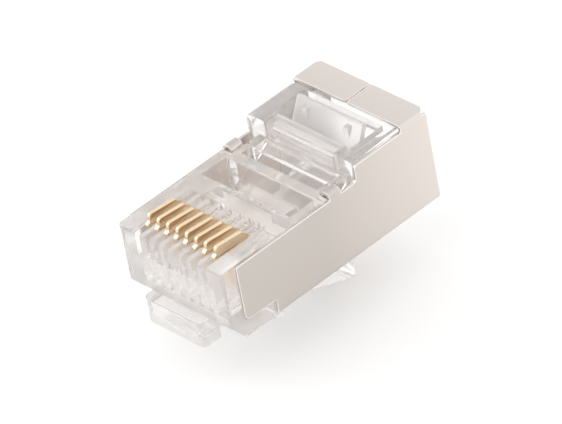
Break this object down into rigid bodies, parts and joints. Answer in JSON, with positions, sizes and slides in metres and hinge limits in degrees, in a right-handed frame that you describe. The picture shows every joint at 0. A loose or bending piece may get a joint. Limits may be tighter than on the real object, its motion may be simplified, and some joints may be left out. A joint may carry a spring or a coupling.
{
  "type": "shielded modular plug",
  "caption": "Shielded modular plug for network cable, uncrimped, with a clear housing, blade contacts, a sprung latch lever and a folded metal shield open at the cable end.",
  "frame": {"origin": "middle of the nose's front face, at half the nose's height and on the plug's centre plane", "axes": "+X across the plug, +Y from the nose towards the cable end, +Z from the latch side towards the contacts"},
  "size_m": [0.0116, 0.0226, 0.0138],
  "materials": {
    "clear_housing": "clear moulded polycarbonate",
    "clear_latch": "clear moulded polycarbonate",
    "shield_plate": "satin nickel-plated copper alloy sheet",
    "contact_plate": "gold-plated phosphor bronze"
  },
  "bodies": {
    "body": {"housing": "clear_housing", "shield": "shield_plate"},
    "latch": {"latch_lever": "clear_latch"},
    "blade_1": {"contact_1": "contact_plate"},
    "blade_2": {"contact_2": "contact_plate"},
    "blade_3": {"contact_3": "contact_plate"},
    "blade_4": {"contact_4": "contact_plate"},
    "blade_5": {"contact_5": "contact_plate"},
    "blade_6": {"contact_6": "contact_plate"},
    "blade_7": {"contact_7": "contact_plate"},
    "blade_8": {"contact_8": "contact_plate"}
  },
  "joints": [
    {"name": "latch_flex", "type": "hinge", "parent": "body", "child": "latch", "pos_m": [0, 0.001, -0.00385], "axis": [1, 0, 0], "range_deg": [0, 11], "stiffness_Nm_per_rad": 0.02},
    {"name": "crimp_1", "type": "slide", "parent": "body", "child": "blade_1", "axis": [0, 0, 1], "range_m": [-0.00139, 0]},
    {"name": "crimp_2", "type": "slide", "parent": "body", "child": "blade_2", "axis": [0, 0, 1], "range_m": [-0.00139, 0]},
    {"name": "crimp_3", "type": "slide", "parent": "body", "child": "blade_3", "axis": [0, 0, 1], "range_m": [-0.00139, 0]},
    {"name": "crimp_4", "type": "slide", "parent": "body", "child": "blade_4", "axis": [0, 0, 1], "range_m": [-0.00139, 0]},
    {"name": "crimp_5", "type": "slide", "parent": "body", "child": "blade_5", "axis": [0, 0, 1], "range_m": [-0.00139, 0]},
    {"name": "crimp_6", "type": "slide", "parent": "body", "child": "blade_6", "axis": [0, 0, 1], "range_m": [-0.00139, 0]},
    {"name": "crimp_7", "type": "slide", "parent": "body", "child": "blade_7", "axis": [0, 0, 1], "range_m": [-0.00139, 0]},
    {"name": "crimp_8", "type": "slide", "parent": "body", "child": "blade_8", "axis": [0, 0, 1], "range_m": [-0.00139, 0]}
  ],
  "couplings": [
    {"joint": "crimp_2", "follows": "crimp_1", "ratio": 1},
    {"joint": "crimp_3", "follows": "crimp_1", "ratio": 1},
    {"joint": "crimp_4", "follows": "crimp_1", "ratio": 1},
    {"joint": "crimp_5", "follows": "crimp_1", "ratio": 1},
    {"joint": "crimp_6", "follows": "crimp_1", "ratio": 1},
    {"joint": "crimp_7", "follows": "crimp_1", "ratio": 1},
    {"joint": "crimp_8", "follows": "crimp_1", "ratio": 1}
  ]
}
